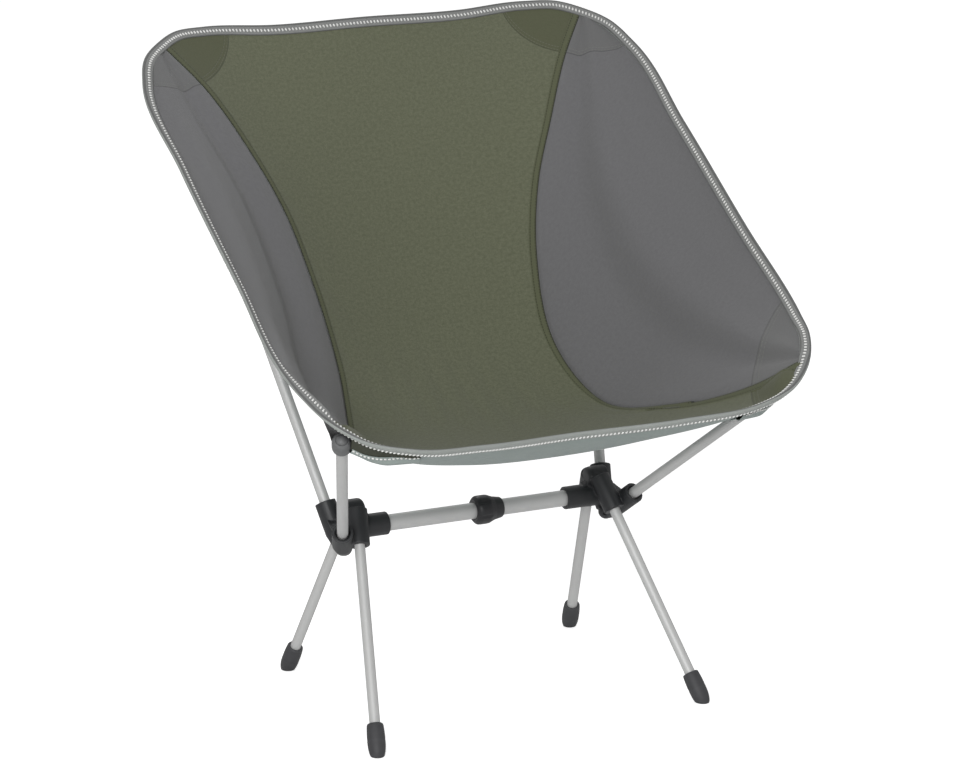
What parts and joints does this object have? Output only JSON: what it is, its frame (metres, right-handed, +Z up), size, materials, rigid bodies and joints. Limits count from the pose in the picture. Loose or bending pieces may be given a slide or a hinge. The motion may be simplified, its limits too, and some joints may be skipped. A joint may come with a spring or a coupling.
{
  "type": "camp chair",
  "caption": "Low packable camp chair: shock-corded tube frame in two moulded hubs under a taut, bound fabric seat with padded pole pockets at its corners.",
  "frame": {"origin": "on the ground below the middle of the chair's overall box", "axes": "+Z up, -Y is the front of the seat, +X to the right of an observer who faces the back of the seat from the front (azimuth 0 looks along +Y)"},
  "size_m": [0.5878, 0.5555, 0.6774],
  "materials": {
    "hub_plastic": "moulded, fine matte texture",
    "collar_plastic": "moulded, satin",
    "tip_plastic": "moulded, matte",
    "foot_rubber": "matte rubber",
    "tube_alloy": "satin anodised",
    "ferrule_alloy": "plain drawn",
    "shock_cord": "braided elastic cord",
    "sling_fabric": "heathered olive woven polyester",
    "side_fabric": "grey mesh fabric",
    "pocket_fabric": "double layer olive woven polyester",
    "binding_tape": "woven edge tape with light stitching"
  },
  "bodies": {
    "frame": {"hub_right": "hub_plastic", "crossbar_tube_right": "tube_alloy", "crossbar_ferrule": "ferrule_alloy", "crossbar_collar": "collar_plastic", "cord_crossbar": "shock_cord", "seat_panel_middle": "sling_fabric", "seat_panel_right": "side_fabric", "binding_right": "binding_tape", "binding_back": "binding_tape", "binding_front": "binding_tape"},
    "left_side": {"hub_left": "hub_plastic", "crossbar_tube_left": "tube_alloy", "seat_panel_left": "side_fabric", "binding_left": "binding_tape"},
    "leg_front_left": {"leg_front_left": "tube_alloy", "foot_front_left": "foot_rubber", "cord_leg_front_left": "shock_cord"},
    "leg_rear_left": {"leg_rear_left": "tube_alloy", "foot_rear_left": "foot_rubber", "cord_leg_rear_left": "shock_cord"},
    "pole_front_left": {"pole_front_left": "tube_alloy", "tip_front_left": "tip_plastic", "cord_pole_front_left": "shock_cord"},
    "pole_rear_left": {"pole_rear_lower_left": "tube_alloy", "ferrule_rear_left": "ferrule_alloy", "cord_pole_rear_left": "shock_cord"},
    "pole_rear_upper_left": {"pole_rear_upper_left": "tube_alloy", "tip_rear_left": "tip_plastic"},
    "pocket_front_left": {"pocket_front_left": "pocket_fabric"},
    "pocket_back_left": {"pocket_back_left": "pocket_fabric"},
    "leg_front_right": {"leg_front_right": "tube_alloy", "foot_front_right": "foot_rubber", "cord_leg_front_right": "shock_cord"},
    "leg_rear_right": {"leg_rear_right": "tube_alloy", "foot_rear_right": "foot_rubber", "cord_leg_rear_right": "shock_cord"},
    "pole_front_right": {"pole_front_right": "tube_alloy", "tip_front_right": "tip_plastic", "cord_pole_front_right": "shock_cord"},
    "pole_rear_right": {"pole_rear_lower_right": "tube_alloy", "ferrule_rear_right": "ferrule_alloy", "cord_pole_rear_right": "shock_cord"},
    "pole_rear_upper_right": {"pole_rear_upper_right": "tube_alloy", "tip_rear_right": "tip_plastic"},
    "pocket_front_right": {"pocket_front_right": "pocket_fabric"},
    "pocket_back_right": {"pocket_back_right": "pocket_fabric"}
  },
  "joints": [
    {"name": "crossbar_pull", "type": "slide", "parent": "frame", "child": "left_side", "axis": [-1, 0, 0], "range_m": [0, 0.045]},
    {"name": "leg_pull_front_left", "type": "slide", "parent": "left_side", "child": "leg_front_left", "axis": [-0.1726, -0.5848, -0.7926], "range_m": [0, 0.034]},
    {"name": "leg_pull_rear_left", "type": "slide", "parent": "left_side", "child": "leg_rear_left", "axis": [-0.1245, 0.4669, -0.8755], "range_m": [0, 0.034]},
    {"name": "pole_pull_front_left", "type": "slide", "parent": "left_side", "child": "pole_front_left", "axis": [-0.3033, -0.7267, 0.6164], "range_m": [0, 0.038]},
    {"name": "pole_pull_rear_left", "type": "slide", "parent": "left_side", "child": "pole_rear_left", "axis": [-0.1519, 0.4813, 0.8633], "range_m": [0, 0.042]},
    {"name": "pole_section_pull_left", "type": "slide", "parent": "pole_rear_left", "child": "pole_rear_upper_left", "axis": [-0.1519, 0.4813, 0.8633], "range_m": [0, 0.042]},
    {"name": "pocket_pull_front_left", "type": "slide", "parent": "pole_front_left", "child": "pocket_front_left", "axis": [-0.3033, -0.7267, 0.6164], "range_m": [0, 0.035]},
    {"name": "pocket_pull_back_left", "type": "slide", "parent": "pole_rear_upper_left", "child": "pocket_back_left", "axis": [-0.1519, 0.4813, 0.8633], "range_m": [0, 0.035]},
    {"name": "leg_pull_front_right", "type": "slide", "parent": "frame", "child": "leg_front_right", "axis": [0.1726, -0.5848, -0.7926], "range_m": [0, 0.034]},
    {"name": "leg_pull_rear_right", "type": "slide", "parent": "frame", "child": "leg_rear_right", "axis": [0.1245, 0.4669, -0.8755], "range_m": [0, 0.034]},
    {"name": "pole_pull_front_right", "type": "slide", "parent": "frame", "child": "pole_front_right", "axis": [0.3033, -0.7267, 0.6164], "range_m": [0, 0.038]},
    {"name": "pole_pull_rear_right", "type": "slide", "parent": "frame", "child": "pole_rear_right", "axis": [0.1519, 0.4813, 0.8633], "range_m": [0, 0.042]},
    {"name": "pole_section_pull_right", "type": "slide", "parent": "pole_rear_right", "child": "pole_rear_upper_right", "axis": [0.1519, 0.4813, 0.8633], "range_m": [0, 0.042]},
    {"name": "pocket_pull_front_right", "type": "slide", "parent": "pole_front_right", "child": "pocket_front_right", "axis": [0.3033, -0.7267, 0.6164], "range_m": [0, 0.035]},
    {"name": "pocket_pull_back_right", "type": "slide", "parent": "pole_rear_upper_right", "child": "pocket_back_right", "axis": [0.1519, 0.4813, 0.8633], "range_m": [0, 0.035]}
  ]
}
